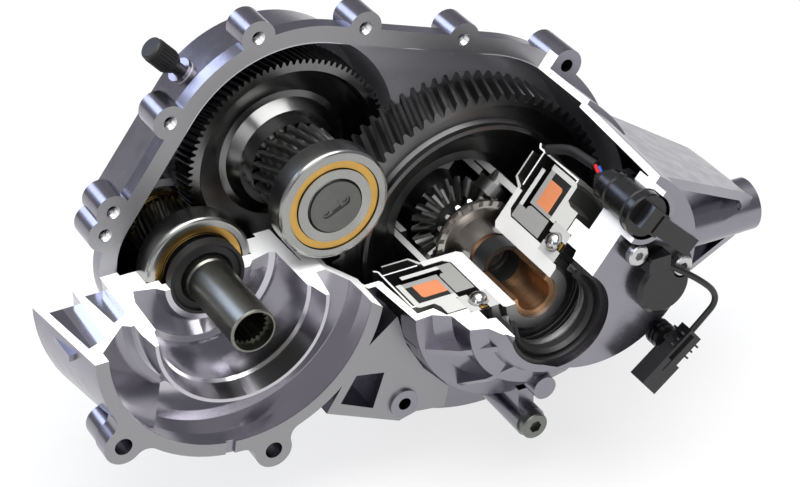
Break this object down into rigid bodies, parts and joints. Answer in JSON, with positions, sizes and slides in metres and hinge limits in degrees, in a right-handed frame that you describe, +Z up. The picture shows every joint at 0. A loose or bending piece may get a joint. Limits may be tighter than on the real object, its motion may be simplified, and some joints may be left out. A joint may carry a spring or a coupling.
{
  "type": "cut-away electric drive reduction gearbox with differential",
  "caption": "Cut-away two-stage helical reduction drive with bevel differential, electromagnetic lock, cast casing, motor bell and side mounting arm.",
  "frame": {"origin": "on the input shaft's axis at the motor's mating face", "axes": "+Y along the shafts from the motor into the gearbox, +X to the right seen from the motor, +Z up"},
  "size_m": [0.475, 0.2229, 0.2937],
  "materials": {
    "cast_aluminium": "satin cast, cut faces painted white",
    "bearing_steel": "polished",
    "brass": "satin",
    "gear_steel": "dark oiled steel",
    "shaft_steel": "ground",
    "bright_steel": "bright",
    "white_section": "white cut faces",
    "bronze": "brown bronze",
    "black_rubber": "matt",
    "black_plastic": "fine texture",
    "copper_winding": "cut copper winding, orange",
    "grey_plastic": "light grey",
    "black_steel": "black pressed sheet",
    "red_wire": "red insulation",
    "blue_wire": "blue insulation"
  },
  "bodies": {
    "housing": {"front_casing": "cast_aluminium", "rear_casing": "cast_aluminium", "flange_bolts": "bearing_steel", "input_seal": "black_rubber", "input_bearing_outer_ring": "bearing_steel", "layshaft_bearing_outer_ring": "bearing_steel", "output_bearing_outer_ring": "bearing_steel", "rear_bearing_outer_rings": "bearing_steel", "output_seal": "black_rubber", "output_seal_spring": "bright_steel", "rear_output_seal": "black_rubber", "magnet_yoke": "white_section", "magnet_coil": "copper_winding", "magnet_potting": "black_plastic", "coil_bobbin": "grey_plastic", "magnet_can": "black_steel", "coil_lead_sleeve": "black_rubber", "coil_wire_red": "red_wire", "coil_wire_blue": "blue_wire", "connector_plug": "black_plastic", "plug_o_ring": "black_rubber", "speed_sensor": "black_plastic", "sensor_screws": "bright_steel", "sensor_cable": "black_rubber", "sensor_connector": "black_plastic", "connector_clip": "black_plastic", "drain_plug": "bearing_steel", "breather_stem": "black_plastic", "breather_cap": "black_plastic"},
    "input_rotor": {"input_shaft": "shaft_steel", "input_bearing_inner_rings": "bearing_steel"},
    "layshaft_rotor": {"layshaft": "gear_steel", "layshaft_gear": "gear_steel", "layshaft_bearing_inner_rings": "bearing_steel", "layshaft_end_disc": "shaft_steel"},
    "differential": {"ring_gear": "gear_steel", "differential_case": "white_section", "hub_flange": "white_section", "hub_bush": "bronze", "spacer_sleeve": "black_rubber", "output_bearing_inner_ring": "bearing_steel", "differential_rear_inner_ring": "bearing_steel", "cross_pin": "gear_steel", "sensing_disc": "black_steel"},
    "input_ball_set": {"input_bearing_cages": "brass", "input_bearing_balls": "bright_steel"},
    "layshaft_ball_set": {"layshaft_bearing_cages": "brass", "layshaft_bearing_balls": "bright_steel"},
    "output_ball_set": {"output_bearing_cages": "brass", "output_bearing_balls": "bright_steel"},
    "near_side": {"near_side_gear": "bright_steel"},
    "far_side": {"far_side_gear": "gear_steel"},
    "upper_planet": {"upper_planet_gear": "gear_steel"},
    "lower_planet": {"lower_planet_gear": "gear_steel"},
    "armature": {"pusher_sleeve": "grey_plastic", "armature_plate": "black_steel"}
  },
  "joints": [
    {"name": "differential_spin", "type": "hinge", "parent": "housing", "child": "differential", "pos_m": [0.178, 0, -0.023], "axis": [0, 1, 0], "continuous": true},
    {"name": "layshaft_spin", "type": "hinge", "parent": "housing", "child": "layshaft_rotor", "pos_m": [0.0744, 0, 0.0393], "axis": [0, 1, 0], "continuous": true},
    {"name": "input_spin", "type": "hinge", "parent": "housing", "child": "input_rotor", "pos_m": [0, 0, 0], "axis": [0, 1, 0], "continuous": true},
    {"name": "input_ball_spin", "type": "hinge", "parent": "housing", "child": "input_ball_set", "pos_m": [0, 0, 0], "axis": [0, 1, 0], "continuous": true},
    {"name": "layshaft_ball_spin", "type": "hinge", "parent": "housing", "child": "layshaft_ball_set", "pos_m": [0.0744, 0, 0.0393], "axis": [0, 1, 0], "continuous": true},
    {"name": "output_ball_spin", "type": "hinge", "parent": "housing", "child": "output_ball_set", "pos_m": [0.178, 0, -0.023], "axis": [0, 1, 0], "continuous": true},
    {"name": "far_side_spin", "type": "hinge", "parent": "differential", "child": "far_side", "pos_m": [0.178, 0, -0.023], "axis": [0, 1, 0], "continuous": true},
    {"name": "near_side_spin", "type": "hinge", "parent": "differential", "child": "near_side", "pos_m": [0.178, 0, -0.023], "axis": [0, 1, 0], "continuous": true},
    {"name": "upper_planet_spin", "type": "hinge", "parent": "differential", "child": "upper_planet", "pos_m": [0.178, 0.06, -0.023], "axis": [0.7431, 0, 0.6691], "continuous": true},
    {"name": "lower_planet_spin", "type": "hinge", "parent": "differential", "child": "lower_planet", "pos_m": [0.178, 0.06, -0.023], "axis": [0.7431, 0, 0.6691], "continuous": true},
    {"name": "armature_travel", "type": "slide", "parent": "housing", "child": "armature", "axis": [0, -1, 0], "range_m": [0, 0.0035]}
  ],
  "couplings": [
    {"joint": "layshaft_spin", "follows": "differential_spin", "ratio": -3.7143},
    {"joint": "input_spin", "follows": "differential_spin", "ratio": 12.931},
    {"joint": "input_ball_spin", "follows": "differential_spin", "ratio": 5.1725},
    {"joint": "layshaft_ball_spin", "follows": "differential_spin", "ratio": -1.4857},
    {"joint": "output_ball_spin", "follows": "differential_spin", "ratio": 0.41},
    {"joint": "near_side_spin", "follows": "far_side_spin", "ratio": -1},
    {"joint": "upper_planet_spin", "follows": "far_side_spin", "ratio": -1.6667},
    {"joint": "lower_planet_spin", "follows": "far_side_spin", "ratio": 1.6667}
  ]
}
